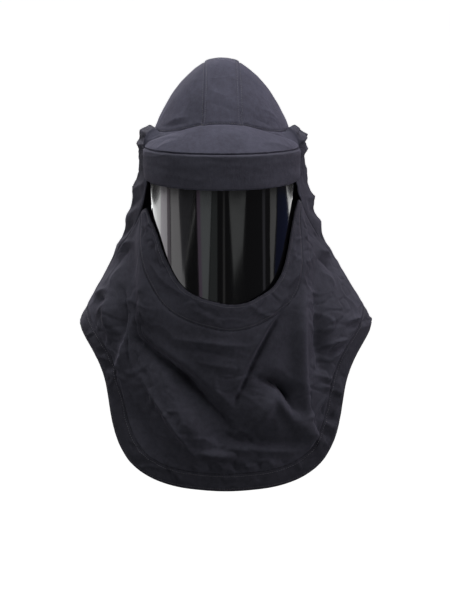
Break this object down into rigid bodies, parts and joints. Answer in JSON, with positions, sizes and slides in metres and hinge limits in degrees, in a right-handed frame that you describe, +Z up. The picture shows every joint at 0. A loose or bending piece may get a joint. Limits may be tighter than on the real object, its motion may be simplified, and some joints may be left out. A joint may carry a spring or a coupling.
{
  "type": "arc flash hood",
  "caption": "Cloth arc flash hood with a domed crown, a peak, a padded visor band, a curved smoky face window and a flared shroud with a stitched hem.",
  "frame": {"origin": "inside top of the crown, where the wearer's hard hat carries the hood", "axes": "+Z up, the face window looks towards -Y, +X is on the right of someone who looks at the window"},
  "size_m": [0.5163, 0.3689, 0.7443],
  "materials": {
    "crown_cloth": "matte",
    "band_cloth": "matte",
    "shroud_cloth": "matte",
    "hem_cloth": "matte",
    "window": "gloss"
  },
  "bodies": {
    "root": {"crown_centre": "crown_cloth", "crown_left": "crown_cloth", "crown_right": "crown_cloth", "peak": "crown_cloth", "peak_gusset_left": "crown_cloth", "peak_gusset_right": "crown_cloth", "visor_band": "band_cloth", "window": "window", "edge_roll_left": "band_cloth", "edge_roll_right": "band_cloth", "opening_facing": "shroud_cloth", "side_panel_left": "shroud_cloth", "side_panel_right": "shroud_cloth", "bib": "shroud_cloth", "back_panel": "shroud_cloth", "hem_front": "hem_cloth", "hem_back": "hem_cloth"}
  },
  "joints": []
}
